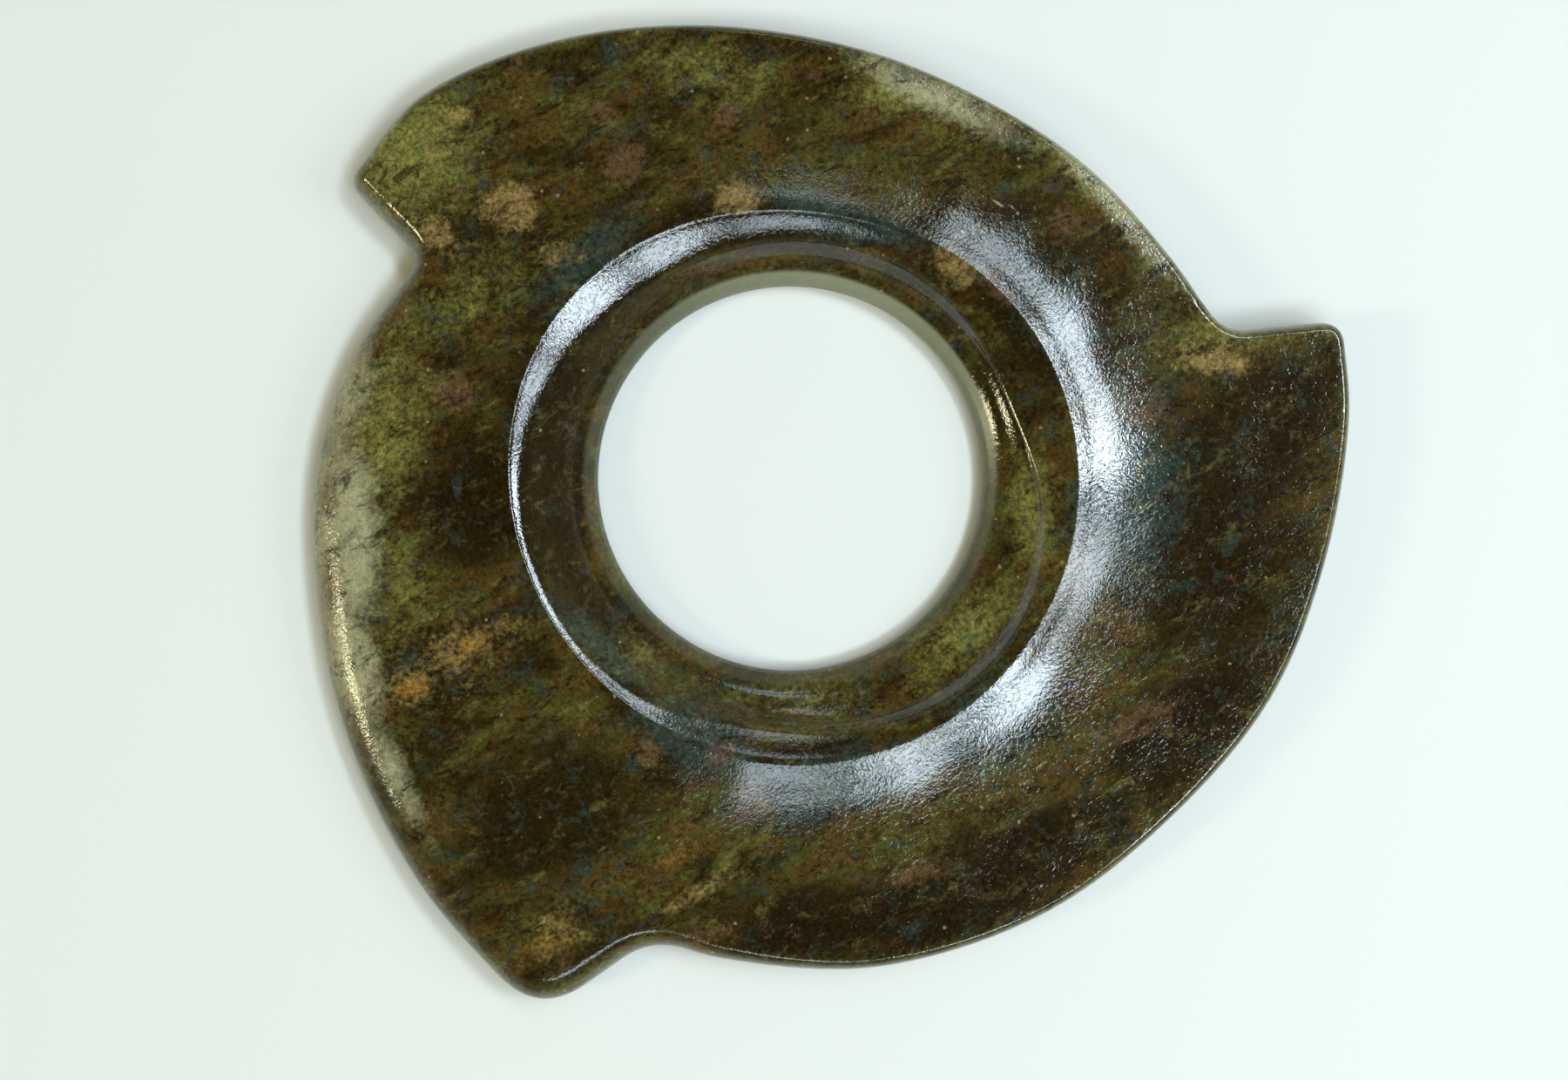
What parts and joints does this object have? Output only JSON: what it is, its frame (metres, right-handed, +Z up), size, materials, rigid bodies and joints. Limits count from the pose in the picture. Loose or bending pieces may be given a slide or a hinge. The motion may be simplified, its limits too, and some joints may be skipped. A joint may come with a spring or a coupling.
{
  "type": "notched jade disc",
  "caption": "Flat ring of dark green and brown jade with a wide central hole, a low crest and dished lip round it, and hooked teeth cut into its rounded edge.",
  "frame": {"origin": "bottom centre of the disc's bounding box, on the surface that it lies on", "axes": "+Z up through the disc's thickness, parallel to the hole's axis, +X along its longest extent and +Y to the top of the picture. The hole's axis passes through x = -4.26 mm, y = 3.71 mm"},
  "size_m": [0.1102, 0.1036, 0.0075],
  "materials": {
    "jade": "polished"
  },
  "bodies": {
    "root": {"notched_jade_disc": "jade"}
  },
  "joints": []
}
